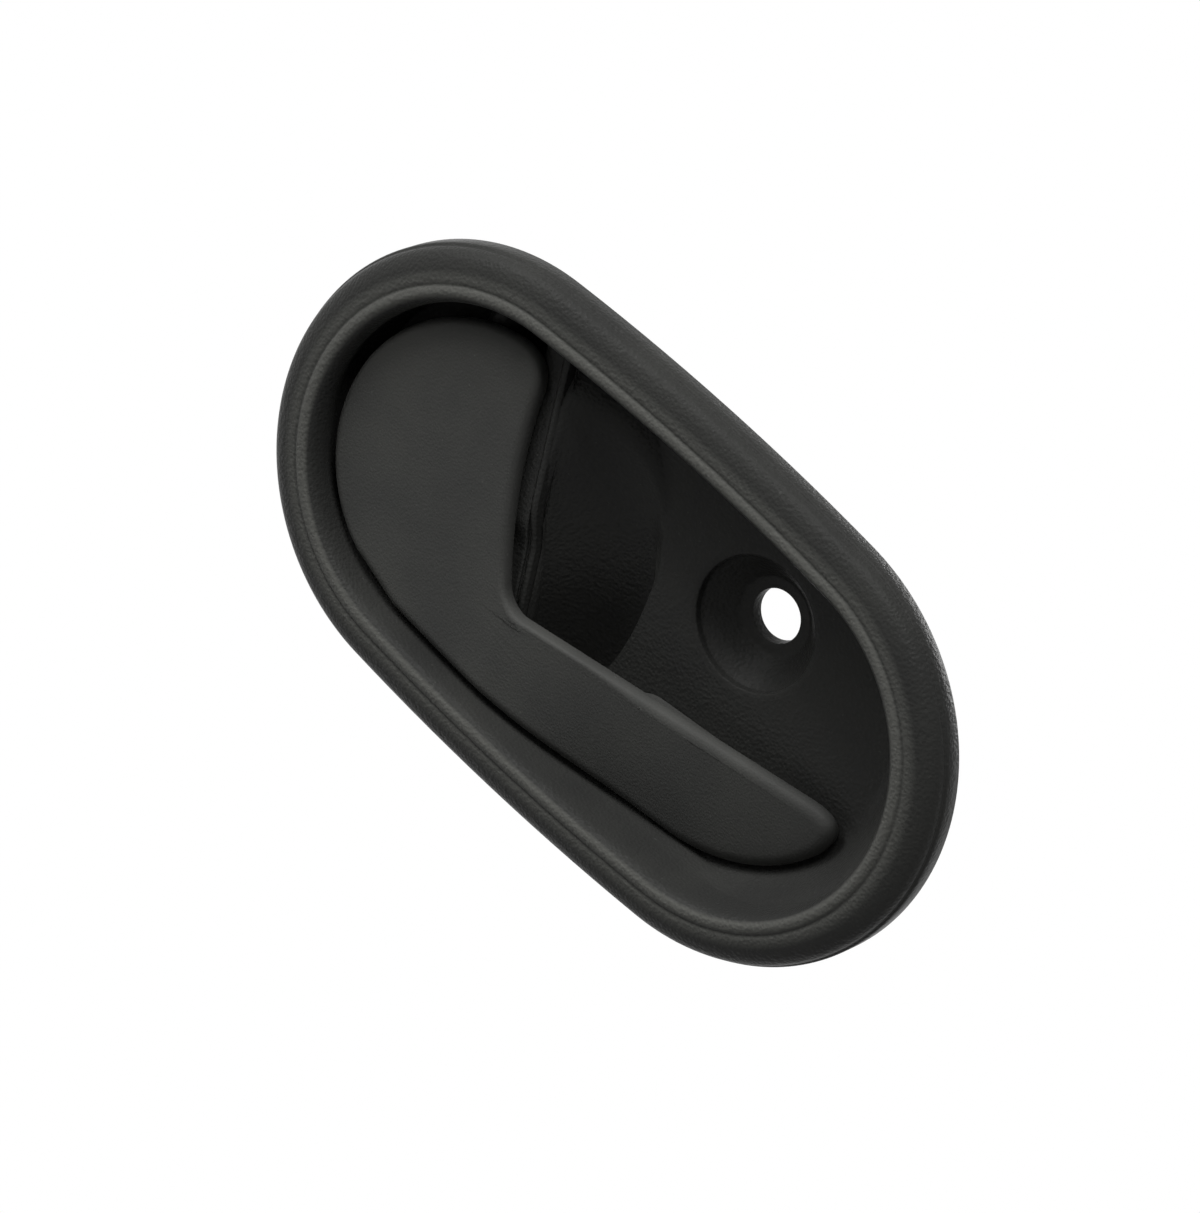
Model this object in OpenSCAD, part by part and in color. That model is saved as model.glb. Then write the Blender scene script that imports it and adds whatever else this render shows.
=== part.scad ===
// Interior door handle: a trim ring and finger cup in one moulding, with a comma shaped pull lever.
// X runs along the door, the face looks towards -Y and +Z is up.
// The origin is the middle of the flat edge that sits on the door panel.

/* [Trim ring] */
// Length of the ring along the door
ring_length = 116; // [112:1:124]
// Height of the ring
ring_height = 68; // [66:1:74]
// Radius of the two long sides, which are only gently curved
side_radius = 360; // [300:10:500]
// Height of the outer flank above the panel
flank_height = 3.2; // [2.8:0.1:3.6]
// Height of the crest above the panel
crest_height = 6.2; // [5.8:0.1:7.4]
// Distance from the outer edge to the crest
crest_inset = 6.4; // [6:0.1:6.6]
// Distance from the outer edge to the inner lip
lip_inset = 7.9; // [7.6:0.1:8.2]
// Height of the inner lip above the panel
lip_height = 4.8; // [4.4:0.1:5.2]
// Distance from the outer edge to the shallow groove that runs round the ring
groove_inset = 4.9; // [4.6:0.1:5.2]
// Width of the groove
groove_width = 0.5; // [0.3:0.1:0.7]
// Depth of the groove
groove_depth = 0.3; // [0.2:0.05:0.5]

/* [Cup] */
// Wall thickness of the moulding
wall = 2; // [1.6:0.1:2.2]
// Draft of the cup wall in degrees
wall_draft = 1.5; // [1:0.5:2]
// Depth of the cup floor behind the panel face
floor_depth = 6.2; // [6:0.1:7]
// Radius of the cup floor's rounded right end
ramp_radius = 24.5; // [23.5:0.5:25]
// Distance from the ring's right end to the centre of that rounded end
ramp_inset = 37.5; // [37:0.5:39]

/* [Screw seat] */
// Distance from the ring's right end to the screw
screw_inset = 41.6; // [40:0.2:43]
// Height of the screw above the middle
screw_z = 7.8; // [7:0.2:9]
// Radius of the dished seat
dish_radius = 9.4; // [8:0.2:10]
// Depth of the dished seat below the cup floor
dish_depth = 5.2; // [4:0.2:6]
// Radius of the screw hole
screw_hole_radius = 3.75; // [3:0.05:4]
// Depth of the step at the rim of the dish, from where it slopes down to the screw
dish_step = 1.2; // [0.8:0.1:1.6]
// Width of the flat ring that the screw's head sits on
seat_width = 1.6; // [1:0.1:2]

/* [Finger trough] */
// Distance from the ring's left end to the trough's rim, at the reference point of the trough
trough_inset = 39.9; // [39.5:0.1:40.5]
// Height of that reference point
trough_z = 8.7; // [8:0.1:9.4]
// Lean of the trough's rim from upright in degrees
trough_lean = 17.4; // [16:0.2:18]
// Radius of the trough's round bottom
trough_radius = 17; // [16:0.5:18]
// Distance from the rim to the lowest line of the trough
trough_middle = 13; // [12:0.5:13.5]
// Depth of that line behind the panel face, at the reference point
trough_depth = 5.8; // [5.7:0.1:6.2]
// Slope of that line in degrees, deeper towards the lever
trough_tilt = 12; // [11:0.5:13]
// Radius of the curved fold where the trough meets the floor
fold_radius = 36.1; // [35:0.1:37]
// Height of the rim beside the lever above the panel
rim_height = 1; // [0.6:0.1:1.4]

/* [Lever] */
// Radius of the lever's round plate
plate_radius = 22.5; // [22:0.1:22.6]
// Distance from the ring's left end to the middle of the round plate
plate_inset = 31.75; // [31.6:0.05:32.2]
// Height of the middle of the round plate
plate_z = -1; // [-1.1:0.1:-0.6]
// Height of the lever's face above the panel
lever_face = 2.6; // [2.2:0.1:3]
// Thickness of the lever
lever_thickness = 2.4; // [2:0.1:2.6]
// Slope of the tail towards its tip in degrees
tail_slope = 6.1; // [5:0.1:6.4]
// Rise of the tail's upper edge towards its tip in degrees
tail_rise = 7.7; // [6.8:0.1:8]
// Gap between the lever's tail and the cup wall
lever_gap = 1.4; // [1.2:0.1:1.6]
// Width of the skirt along the tail's upper edge
skirt_width = 2.2; // [1.8:0.1:2.6]

/* [Hinge] */
// Distance from the ring's left end to the hinge pin
pivot_inset = 23; // [22.8:0.1:24]
// Depth of the hinge pin behind the panel face
pivot_depth = 2.7; // [2.6:0.1:2.9]
// Radius of the steel pin
pin_radius = 1.25; // [1:0.05:1.4]
// Clearance between the pin and the lever's bores
pin_clearance = 0.05; // [0.03:0.01:0.08]
// Radius of the lugs and bosses round the pin
boss_radius = 2.5; // [2.3:0.1:2.6]
// Thickness of the lever's two lugs
lug_thickness = 3.4; // [3:0.1:4]
// Distance from the middle of the plate to the outer face of each lug
lug_reach = 16.6; // [15:0.1:17]
// Gap between a lug and the housing's boss beside it
boss_gap = 0.4; // [0.3:0.05:0.6]
// Wire thickness of the return spring
spring_wire = 0.8; // [0.7:0.05:0.9]
// Turns of the return spring
spring_turns = 8; // [4:1:9]

/* [Latch rod] */
// Thickness of the lever's rear arm
arm_thickness = 3; // [2.6:0.1:3.4]
// Distance from the hinge pin to the rod clip
arm_length = 19; // [17:0.5:21]
// Height of the arm's middle plane
arm_z = -9; // [-10:0.5:-8]
// Radius of the rod clip's barrel
clip_radius = 2.5; // [2.2:0.1:2.8]
// Radius of the latch rod that the clip takes
rod_radius = 1.5; // [1.2:0.1:1.6]

/* [Buffers] */
// Radius of a rubber buffer's head
buffer_radius = 2.4; // [2:0.1:2.8]
// Radius of a rubber buffer's stem
buffer_stem = 1.3; // [1:0.1:1.5]
// Gap left between a buffer and the lever
buffer_gap = 0.2; // [0.15:0.05:0.3]

/* [Hidden] */
$fn = 96;

// A hair of overlap, so that joined solids share no face
hair = 0.05;
half_length = ring_length / 2;
half_height = ring_height / 2;
ramp_centre = half_length - ramp_inset;
screw_x = half_length - screw_inset;
trough_x = trough_inset - half_length;
plate_x = plate_inset - half_length;
pivot_x = pivot_inset - half_length;
end_radius = (2 * side_radius * half_height - half_length * half_length - half_height * half_height)
    / (2 * (side_radius - half_length));
end_x = half_length - end_radius;
side_y = side_radius - half_height;
blend_angle = atan2(side_y, end_x);
arc_join = end_x + end_radius * cos(blend_angle);
side_sweep = 16;

// Heights are measured towards the viewer from the panel face, so depths are negative
floor_h = -floor_depth;
cup_back = floor_h - wall;
footing = floor_h - wall / 2;
dish_h = floor_h - dish_depth;
seat_radius = screw_hole_radius + seat_width;
pivot_h = -pivot_depth;
lever_back = lever_face - lever_thickness;

// The trough: how far it is cut, and the centre of its curved fold, along and across the rim
trough_length = 110;
trough_low = -24;
fold_centre = [-20.3, -10.4];
fold_draft = 0.1;
fold_rise = 1;

// How far the wall of the lever's well steps back behind the lip at the heel, and between which heights
heel_room = 0.8;
heel_low = 0.6;
heel_top = 2.4;

// The lever's outline
tail_start = plate_x + 16;
tip_x = ramp_centre - 0.2;
tip_radius = ramp_radius - 0.5;
edge_radius = 76;
edge_centre = [plate_x + 77.45, 29.8];
neck_radius = 5;
neck_point = [plate_x + 18.15, -10.2];
lug_boss = boss_radius - 0.1;
skirt_start = plate_x + 30.25;
skirt_gap = 0.5;
skirt_inset = 2;

// How far the cup's inner wall stands in from the outer edge at height h
function wall_inset(h) = lip_inset + (lip_height - h) * tan(wall_draft);

// Points of an arc, from angle a to angle b
function arc(cx, cy, r, a, b, n) = [for (i = [0:n]) let (t = a + (b - a) * i / n) [cx + r * cos(t), cy + r * sin(t)]];

// Height of the tail's face at x
function tail_face(x) = lever_face - max(0, x - tail_start) * tan(tail_slope);

// Turns the face's frame, drawn flat with its front up, into the installed frame
module installed() {
    rotate([90, 0, 0]) children();
}

// Sweeps a section round the four arcs of the ring. Its x is the distance in from the outer edge
module round_the_ring() {
    reach = ring_length;
    for (side = [0, 180]) {
        rotate([0, 0, side]) intersection() {
            translate([end_x, 0, 0]) rotate([0, 0, -90]) rotate_extrude(angle = 180, $fn = 92)
                translate([end_radius, 0]) mirror([1, 0]) children();
            translate([arc_join, -reach, -reach]) cube([reach, 2 * reach, 2 * reach]);
        }
        rotate([0, 0, side]) intersection() {
            translate([0, -side_y, 0]) rotate([0, 0, 90 - side_sweep / 2])
                rotate_extrude(angle = side_sweep, $fn = 360)
                    translate([side_radius, 0]) mirror([1, 0]) children();
            translate([-arc_join, 0, -reach]) cube([2 * arc_join, reach, 2 * reach]);
        }
    }
}

// A straight block with the ring's own outline, set in by inset
module ring_block(inset, low, high) {
    join_x = end_x + (end_radius - inset) * cos(blend_angle);
    translate([0, 0, low]) {
        for (side = [-1, 1]) {
            translate([side * end_x, 0, 0]) cylinder(r = end_radius - inset, h = high - low, $fn = 120);
        }
        intersection() {
            translate([0, -side_y, 0]) cylinder(r = side_radius - inset, h = high - low, $fn = 360);
            translate([0, side_y, 0]) cylinder(r = side_radius - inset, h = high - low, $fn = 360);
            translate([-join_x, -half_height, 0]) cube([2 * join_x, ring_height, high - low]);
        }
    }
}

// Section of the ring and the cup wall: a hollow convex band, a groove, a rounded crest and the wall
module ring_section() {
    band_x = groove_inset;
    band_rise = crest_height - 0.2 - flank_height;
    band = [for (i = [0:8]) let (t = 90 * i / 8) [band_x * (1 - cos(t)), flank_height + band_rise * sin(t)]];
    groove = [[groove_inset + groove_width * 0.3, crest_height - 0.2 - groove_depth],
        [groove_inset + groove_width * 0.7, crest_height - 0.2 - groove_depth],
        [groove_inset + groove_width, crest_height - 0.15]];
    roll = lip_inset - crest_inset;
    crest = [for (i = [0:6]) let (t = 90 - 90 * i / 6)
        [crest_inset + roll * cos(t), lip_height + (crest_height - lip_height) * sin(t)]];
    foot = [[wall_inset(cup_back), cup_back], [wall_inset(cup_back) - wall, cup_back]];
    under = [[lip_inset - wall, lip_height - wall], [crest_inset - wall, crest_height - wall - 0.2],
        [wall + 0.9, flank_height + 0.2], [wall, flank_height - 0.9], [wall, 0]];
    polygon(concat([[0, 0]], band, groove, crest, foot, under));
}

// Puts children at the trough's reference point, turned along its rim
module by_the_rim() {
    translate([trough_x, trough_z, 0]) rotate([0, 0, trough_lean]) children();
}

// Everything to the right of a line parallel to the trough's rim, at a distance from it
module right_of_rim(distance, low, high) {
    by_the_rim() translate([distance, -ring_length, low]) cube([ring_length, 2 * ring_length, high - low]);
}

// The round bottom of the finger trough, grown by a wall thickness or none
module trough_bottom(grow) {
    by_the_rim() translate([trough_middle, 0, trough_radius / cos(trough_tilt) - trough_depth])
        rotate([90 + trough_tilt, 0, 0])
            cylinder(r = trough_radius + grow, h = trough_length, center = true, $fn = 180);
}

// Everything to the left of the curved fold, which leans inwards by rise for each millimetre of height
module left_of_fold(grow, low, high, rise) {
    by_the_rim() translate([fold_centre[0], fold_centre[1], low])
        cylinder(r1 = fold_radius + grow - (low - floor_h) * rise, r2 = fold_radius + grow - (high - floor_h) * rise,
            h = high - low, $fn = 180);
}

// The slope from the rim down to the fold, where it stands above the floor
module trough_slope() {
    top = rim_height - 0.1;
    difference() {
        intersection() {
            left_of_fold(0, footing, top, fold_rise);
            ring_block(wall_inset(0) - wall / 2, footing, top);
            right_of_rim(-rim_width / 3, footing, top);
        }
        trough_bottom(0);
    }
}

// The shell under the part of the trough that is deeper than the floor
module trough_shell() {
    top = floor_h - 0.2;
    intersection() {
        trough_bottom(wall);
        left_of_fold(wall, trough_low, top, -fold_draft);
        ring_block(wall_inset(floor_h) - wall / 2, trough_low, top);
    }
}

// The rim between the lever's well and the trough, lower where the lever passes over it
module rim_wall() {
    intersection() {
        ring_block(wall_inset(0) - wall / 2, footing, rim_height);
        difference() {
            right_of_rim(-rim_width, footing, rim_height);
            right_of_rim(0, footing - 1, rim_height + 1);
            translate([-half_length, -half_height, lever_back - rim_drop])
                cube([ring_length, half_height + rim_end, crest_height]);
        }
    }
}

// A round boss or bore on the hinge line, between two heights on the door
module on_hinge(radius, low, high) {
    translate([pivot_x, low, pivot_h]) rotate([-90, 0, 0]) cylinder(r = radius, h = high - low);
}

// Housing: the ring, the cup, the screw seat, the finger trough, hinge bosses and the retaining hook
rim_width = 1.6;
rim_drop = 1.6;
rim_end = -3.6;
boss_inner = lug_reach + boss_gap;
hook_width = 16;
hook_reach = 5;
hook_thickness = 2.2;
panel_gap = 2.6;
ramp_mouth = half_length - lip_inset - ramp_centre + 0.8;
spring_leg = 9.5;
rest_x = half_length - 25;
rest_z = -12.5;
stop_x = 14 - half_length;
stop_z = 4;
slot_low = -3.6;
slot_high = 6.6;

module housing_solid() {
    difference() {
        round_the_ring() ring_section();
        heel_relief();
    }
    // Floor of the cup and of the lever's well
    ring_block(wall_inset(floor_h) - 0.6, cup_back, floor_h);
    // Ramp at the right end of the cup, which leaves a rounded cone free
    difference() {
        intersection() {
            ring_block(lip_inset - 1, footing, lip_height - 1);
            translate([ramp_centre, -half_height, footing]) cube([half_length, ring_height, lip_height - footing]);
        }
        translate([ramp_centre, 0, floor_h])
            cylinder(r1 = ramp_radius, r2 = ramp_mouth, h = lip_height - floor_h, $fn = 120);
    }
    // Shell of the screw seat
    translate([screw_x, screw_z, dish_h - wall])
        cylinder(r1 = seat_radius + wall, r2 = dish_radius + wall, h = wall + dish_depth - dish_step);
    translate([screw_x, screw_z, floor_h - dish_step - hair])
        cylinder(r = dish_radius + wall, h = dish_step + 2 * hair - wall / 2);
    trough_shell();
    trough_slope();
    rim_wall();
    // Hinge bosses, each carried by the cup wall
    intersection() {
        ring_block(wall_inset(0) - wall / 2, footing, crest_height - 2);
        union() {
            for (side = [-1, 1]) {
                hinge_boss(side);
            }
        }
    }
    retaining_hook();
}

// Room behind the lip for the plate's heel, which swings back as the lever is pulled
module heel_relief() {
    inner = end_radius - wall_inset(0);
    intersection() {
        translate([-end_x, 0, 0]) union() {
            translate([0, 0, floor_h + heel_room]) cylinder(r = inner + heel_room, h = heel_low - floor_h - heel_room);
            translate([0, 0, heel_low - hair])
                cylinder(r1 = inner + heel_room, r2 = inner - heel_room / 2, h = heel_top - heel_low + hair);
        }
        translate([-half_length, -half_height, floor_h])
            cube([pivot_x + half_length - boss_radius, ring_height, crest_height - floor_h]);
    }
}

// One hinge boss with its web down to the floor. Side is 1 for the upper one
module hinge_boss(side) {
    low = side > 0 ? plate_z + boss_inner : -half_height;
    high = side > 0 ? half_height : plate_z - boss_inner;
    on_hinge(boss_radius, low, high);
    translate([pivot_x - boss_radius, low, footing - 1])
        cube([2 * boss_radius, high - low, pivot_h - footing + 1]);
}

// The hook at the left end, which slips behind the door panel
module retaining_hook() {
    hook_x = -half_length + wall_inset(floor_h);
    translate([hook_x - wall - hook_reach, -hook_width / 2, -panel_gap - hook_thickness])
        cube([hook_reach + wall, hook_width, hook_thickness]);
}

module housing() {
    color([0.15, 0.15, 0.14]) installed() difference() {
        housing_solid();
        // The part of the finger trough that is deeper than the floor, kept within the cup wall
        intersection() {
            trough_bottom(0);
            left_of_fold(0, trough_low, floor_h + 1, -fold_draft);
            ring_block(wall_inset(floor_h) + 0.4, trough_low, floor_h + 1);
            right_of_rim(0, trough_low, floor_h + 1);
        }
        // Dished screw seat: a step, a slope and the hole
        translate([screw_x, screw_z, dish_h])
            cylinder(r1 = seat_radius, r2 = dish_radius, h = dish_depth - dish_step);
        translate([screw_x, screw_z, floor_h - dish_step - hair]) cylinder(r = dish_radius, h = dish_step + 1);
        translate([screw_x, screw_z, dish_h - 2 * wall]) cylinder(r = screw_hole_radius, h = 3 * wall);
        // Bore for the hinge pin through both bosses and the cup wall
        on_hinge(pin_radius, -half_height, half_height);
        // Slot that the lever's rear arm passes through
        translate([pivot_x + slot_low, arm_z - arm_thickness / 2 - 1, cup_back - 1])
            cube([slot_high - slot_low, arm_thickness + 2, wall + 2]);
        // Holes for the buffers' stems
        translate([rest_x, rest_z, cup_back - 1]) cylinder(r = buffer_stem, h = wall + 2);
        translate([stop_x, stop_z, cup_back - 1]) cylinder(r = buffer_stem, h = wall + 2);
    }
}

// Where a line through a point, leaning at tail_rise, meets a circle round the edge's centre, on its left
function line_meets(p, r) = let (u = [cos(tail_rise), sin(tail_rise)], w = p - edge_centre)
    p - u * (w * u + sqrt((w * u) * (w * u) - w * w + r * r));

neck_up = [-sin(tail_rise), cos(tail_rise)];
neck_centre = line_meets(neck_point + neck_radius * neck_up, edge_radius - neck_radius);
neck_corner = line_meets(neck_point, edge_radius);

// What is cut out of the lever's outline for the fingers: right of a wide arc and above the tail, with a round neck
module finger_cut() {
    far = 2 * ring_length;
    tail_side = neck_centre - neck_radius * neck_up;
    plate_side = edge_centre + (neck_centre - edge_centre) * edge_radius / (edge_radius - neck_radius);
    difference() {
        intersection() {
            translate(edge_centre) circle(r = edge_radius, $fn = 240);
            translate(neck_point) rotate(tail_rise) translate([-far, 0]) square([2 * far, far]);
        }
        polygon([tail_side, neck_centre, plate_side, neck_corner * 1.3 - neck_centre * 0.3]);
    }
    translate(neck_centre) circle(r = neck_radius);
}

// Outline of the lever: a round plate, a wide concave edge, a rounded neck and a tail
module lever_outline() {
    difference() {
        intersection() {
            union() {
                translate([plate_x, plate_z]) circle(r = plate_radius, $fn = 120);
                translate([plate_x, -half_height]) square([ring_length, half_height]);
            }
            translate([0, side_y]) circle(r = side_radius - wall_inset(0) - lever_gap, $fn = 360);
            union() {
                translate([tip_x, 0]) circle(r = tip_radius, $fn = 120);
                translate([-half_length, -half_height]) square([half_length + tip_x, ring_height]);
            }
        }
        finger_cut();
    }
}

module lever() {
    color([0.24, 0.24, 0.235]) installed() difference() {
        union() {
            // Plate and tail, as thick as the skirt is deep before they are hollowed
            translate([0, 0, floor_h + skirt_gap])
                linear_extrude(height = lever_face - floor_h - skirt_gap) lever_outline();
            // Lugs round the hinge pin
            for (side = [-1, 1]) {
                middle = plate_z + side * (lug_reach - lug_thickness / 2);
                on_hinge(lug_boss, middle - lug_thickness / 2, middle + lug_thickness / 2);
            }
            // Rear arm with its eye
            translate([pivot_x - 2.6, arm_z - arm_thickness / 2, pivot_h - arm_length])
                cube([5.2, arm_thickness, arm_length + lever_back - pivot_h + hair]);
            translate([pivot_x, arm_z - arm_thickness / 2, pivot_h - arm_length]) rotate([-90, 0, 0])
                cylinder(r = clip_radius + 2, h = arm_thickness);
        }
        // The tail's face falls away towards its tip
        translate([tail_start, -half_height, lever_face]) rotate([0, tail_slope, 0])
            cube([ring_length, ring_height, 20]);
        lever_underside();
        // Bore for the pin, and the eye for the rod clip
        on_hinge(pin_radius + pin_clearance, -half_height, half_height);
        translate([pivot_x, arm_z - arm_thickness, pivot_h - arm_length]) rotate([-90, 0, 0])
            cylinder(r = clip_radius + pin_clearance, h = 2 * arm_thickness);
    }
}

// What is hollowed out behind the lever's face, leaving lugs, arm and skirt
module lever_underside() {
    deep = 20;
    lug_inner = lug_reach - lug_thickness;
    // Behind the plate, on both sides of the lugs and the arm
    difference() {
        translate([-half_length, -half_height, lever_back - deep])
            cube([half_length + tail_start, ring_height, deep]);
        for (side = [-1, 1]) {
            translate([pivot_x - lug_boss, plate_z + side * (lug_reach - lug_thickness / 2) - lug_thickness / 2,
                pivot_h]) cube([2 * lug_boss, lug_thickness, lever_back - pivot_h + 1]);
            middle = plate_z + side * (lug_reach - lug_thickness / 2);
            on_hinge(lug_boss, middle - lug_thickness / 2, middle + lug_thickness / 2);
        }
        translate([pivot_x - 2.6, arm_z - arm_thickness / 2, lever_back - deep - 5])
            cube([5.2, arm_thickness, deep + 6]);
    }
    // Behind the tail, leaving the skirt along its upper edge
    intersection() {
        translate([tail_start, -half_height, lever_face]) rotate([0, tail_slope, 0])
            translate([0, 0, -lever_thickness - deep]) cube([ring_length, ring_height, deep]);
        translate([tail_start, -half_height, lever_back - deep]) cube([ring_length, ring_height, deep]);
        linear_extrude(height = 4 * deep, center = true) behind_tail();
    }
}

// All of the tail but its skirt, seen from the front
module behind_tail() {
    difference() {
        translate([tail_start - 1, -half_height]) square([ring_length, ring_height]);
        intersection() {
            translate(neck_point - skirt_width * neck_up) rotate(tail_rise)
                square([ring_length, ring_height]);
            translate([skirt_start, -half_height]) square([ring_length, ring_height]);
            translate([tip_x, 0]) circle(r = tip_radius - skirt_inset, $fn = 120);
        }
    }
}

// Steel pin through both bosses and both lugs, with a head at its upper end
pin_head = 0.8;
pin_head_height = 0.9;
boss_end = sqrt(pow(end_radius - lip_inset + wall, 2) - pow(pivot_x + end_x, 2));
pin_top = boss_end + 1.1;
pin_bottom = -boss_end - 2.5;
retainer_thickness = 0.7;
retainer_place = 0.6;
retainer_width = 2.2;
module hinge_pin() {
    color([0.62, 0.63, 0.65]) installed() {
        on_hinge(pin_radius, pin_bottom, pin_top);
        on_hinge(pin_radius + pin_head, pin_top - hair, pin_top + pin_head_height);
    }
}

// Push-on washer that keeps the pin in
module pin_retainer() {
    color([0.55, 0.56, 0.58]) installed() difference() {
        on_hinge(pin_radius + retainer_width, pin_bottom + retainer_place,
            pin_bottom + retainer_place + retainer_thickness);
        on_hinge(pin_radius, pin_bottom, pin_bottom + 2);
    }
}

// Section of the coil: turns that lie against each other, with a thin web where they touch
module coil_section(inner, wire, pitch, turns) {
    half = wire / 2;
    middle = inner + half;
    side = 180 / 4;
    last = side * 1.5;
    outside = [for (i = [0:turns - 1]) for (t = [-last:side:last])
        [middle + half * cos(t), i * pitch + half * sin(t)]];
    inside = [for (i = [turns - 1:-1:0]) for (t = [last:-side:-last])
        [middle - half * cos(t), i * pitch + half * sin(t)]];
    polygon(concat(outside, inside));
}

coil_room = 0.3;

// Torsion spring round the pin, one leg on the well's floor and one under the heel of the plate
module return_spring() {
    coil_inner = pin_radius + coil_room;
    leg_middle = coil_inner + spring_wire * 0.4;
    leg_radius = spring_wire * 0.44;
    pitch = spring_wire * 0.97;
    low = arm_z + arm_thickness / 2 + 0.6;
    color([0.6, 0.61, 0.63]) installed() translate([pivot_x, low, pivot_h]) {
        rotate([-90, 0, 0]) rotate_extrude($fn = 48) coil_section(coil_inner, spring_wire, pitch, spring_turns);
        translate([0, 0, -leg_middle]) rotate([0, -90, 0]) cylinder(r = leg_radius, h = spring_leg, $fn = 32);
        translate([0, (spring_turns - 1) * pitch, leg_middle]) rotate([0, -90, 0])
            cylinder(r = leg_radius, h = spring_leg, $fn = 32);
    }
}

// A mushroom shaped rubber buffer on the floor, with a stem and a barb behind
module buffer(x, y, top) {
    barb = 0.7;
    translate([x, y, 0]) {
        translate([0, 0, floor_h]) cylinder(r = buffer_radius, h = top - floor_h, $fn = 48);
        translate([0, 0, cup_back - barb]) cylinder(r = buffer_stem, h = wall + barb + hair, $fn = 48);
        translate([0, 0, cup_back - barb - 1]) cylinder(r1 = 0.8, r2 = buffer_stem + barb, h = 1, $fn = 48);
    }
}

// The buffer that the tail rests on
module rest_buffer() {
    under_tail = tail_face(rest_x + buffer_radius) - lever_thickness / cos(tail_slope);
    color([0.09, 0.09, 0.09]) installed() buffer(rest_x, rest_z, under_tail - buffer_gap);
}

// The buffer that the heel of the plate meets at full pull
stop_height = 1.9;
module stop_buffer() {
    color([0.09, 0.09, 0.09]) installed() buffer(stop_x, stop_z, floor_h + stop_height);
}

// Plastic clip that swivels in the arm's eye and holds the latch rod
clip_width = 9;
clip_height = 8;
clip_depth = 5;
module rod_clip() {
    low = arm_z - arm_thickness / 2;
    color([0.85, 0.84, 0.8]) installed() translate([pivot_x, 0, pivot_h - arm_length]) difference() {
        union() {
            translate([0, low - 1.6, 0]) rotate([-90, 0, 0]) cylinder(r = clip_radius, h = arm_thickness + 1.9);
            translate([0, low - 1.8, 0]) rotate([-90, 0, 0])
                cylinder(r = clip_radius + 0.9, h = 1.5);
            translate([-clip_width / 2, low + arm_thickness + 0.3, -clip_height / 2])
                cube([clip_width, clip_depth, clip_height]);
        }
        translate([-clip_width, low + arm_thickness + 0.3 + clip_depth / 2, 0]) rotate([0, 90, 0])
            cylinder(r = rod_radius, h = 2 * clip_width);
    }
}

housing();
lever();
hinge_pin();
pin_retainer();
return_spring();
rest_buffer();
stop_buffer();
rod_clip();
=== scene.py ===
"""Looks of an interior door handle: trim ring and finger cup in one moulding, with a comma shaped pull lever.

X runs along the door, the face looks towards -Y and +Z is up. Shapes are drawn in millimetres, with the height h
towards the person, and are laid into the frame by place_in_door.
"""

import math

import bmesh
import bpy
from mathutils import Matrix, Vector


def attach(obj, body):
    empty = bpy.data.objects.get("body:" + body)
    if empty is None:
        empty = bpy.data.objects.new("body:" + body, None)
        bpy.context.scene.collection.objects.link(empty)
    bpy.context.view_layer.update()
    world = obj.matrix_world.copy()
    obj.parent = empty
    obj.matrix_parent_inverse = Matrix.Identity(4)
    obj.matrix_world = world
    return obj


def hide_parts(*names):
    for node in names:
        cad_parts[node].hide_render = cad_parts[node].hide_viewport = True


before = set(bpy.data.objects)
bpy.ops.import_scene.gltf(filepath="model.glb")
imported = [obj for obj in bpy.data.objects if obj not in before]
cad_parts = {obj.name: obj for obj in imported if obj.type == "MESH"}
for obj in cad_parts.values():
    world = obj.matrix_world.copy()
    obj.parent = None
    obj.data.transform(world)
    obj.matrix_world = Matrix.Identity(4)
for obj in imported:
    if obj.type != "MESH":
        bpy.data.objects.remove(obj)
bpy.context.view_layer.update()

MM = 0.001

# ---------------------------------------------------------------- sizes of the handle, in millimetres
HALF_LENGTH = 58.0
HALF_HEIGHT = 34.0
SIDE_RADIUS = 360.0
END_RADIUS = (2 * SIDE_RADIUS * HALF_HEIGHT - HALF_LENGTH**2 - HALF_HEIGHT**2) / (2 * (SIDE_RADIUS - HALF_LENGTH))
END_X = HALF_LENGTH - END_RADIUS
SIDE_Y = SIDE_RADIUS - HALF_HEIGHT
BLEND = math.atan2(SIDE_Y, END_X)

# heights between which the ring's crest is painted paler, a painted highlight
CREST_HIGHLIGHT_HEIGHTS = (5.7, 6.15)
LIP_H = 4.8
FLOOR_H = -6.2
WALL = 2.0
CUP_BACK = FLOOR_H - WALL
# insets from the ring's outer edge: the cup wall, and where the cup's sheets end, out of sight inside it
WALL_INSET = 7.9
FLOOR_CUT = 7.0
FLOOR_BORDER = 7.4
RAMP_BORDER = 6.9
# where the wall starts to step back for the heel of the plate, over what length, and how far
HEEL_X = -38.0
HEEL_RUN = 8.0
HEEL_RELIEF = 1.3

SCREW = Vector((16.4, 7.8))
DISH_R = 9.4
DISH_DEPTH = 5.2
HOLE_R = 3.75

RIM = Vector((-18.1, 8.7))
RIM_LEAN = math.radians(17.4)
TROUGH_R = 17.0
TROUGH_MIDDLE = 13.0
TROUGH_DEPTH = 5.8
TROUGH_TILT = math.radians(12)
FOLD_CENTRE = Vector((-20.3, -10.4))
FOLD_R = 36.1

PIVOT = Vector((-35.0, -2.7))
PIN_R = 1.25
BOSS_SPANS = ((16.0, 23.6), (-23.4, -18.0))
SLOT_LOW = Vector((PIVOT.x - 3.6, -11.5))
SLOT_HIGH = Vector((PIVOT.x + 6.6, -6.5))
PLATE = Vector((-26.25, -1.0))
PLATE_R = 22.5
FACE_H = 2.6


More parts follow.
